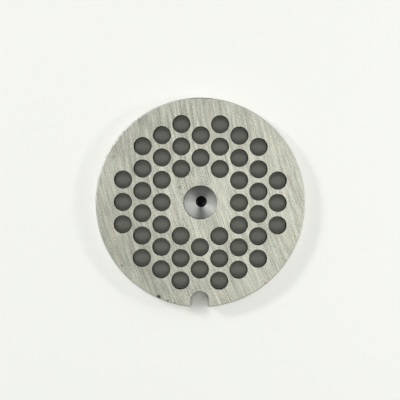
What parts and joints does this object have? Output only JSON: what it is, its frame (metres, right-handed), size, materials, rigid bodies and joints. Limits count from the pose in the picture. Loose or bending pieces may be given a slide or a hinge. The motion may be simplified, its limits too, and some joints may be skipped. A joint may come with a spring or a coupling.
{
  "type": "meat grinder plate",
  "caption": "Round steel meat grinder plate with rows of straight grinding holes, a drilled centre seat and one key notch in the rim.",
  "frame": {"origin": "centre of the back face, on the surface that the plate lies on", "axes": "+Z out of the ground cutting face, -Y towards the key notch in the rim"},
  "size_m": [0.054, 0.0539, 0.005],
  "materials": {
    "ground_steel": "ground flat, with fine nearly straight grinding lines"
  },
  "bodies": {
    "root": {"grinder_plate": "ground_steel"}
  },
  "joints": []
}
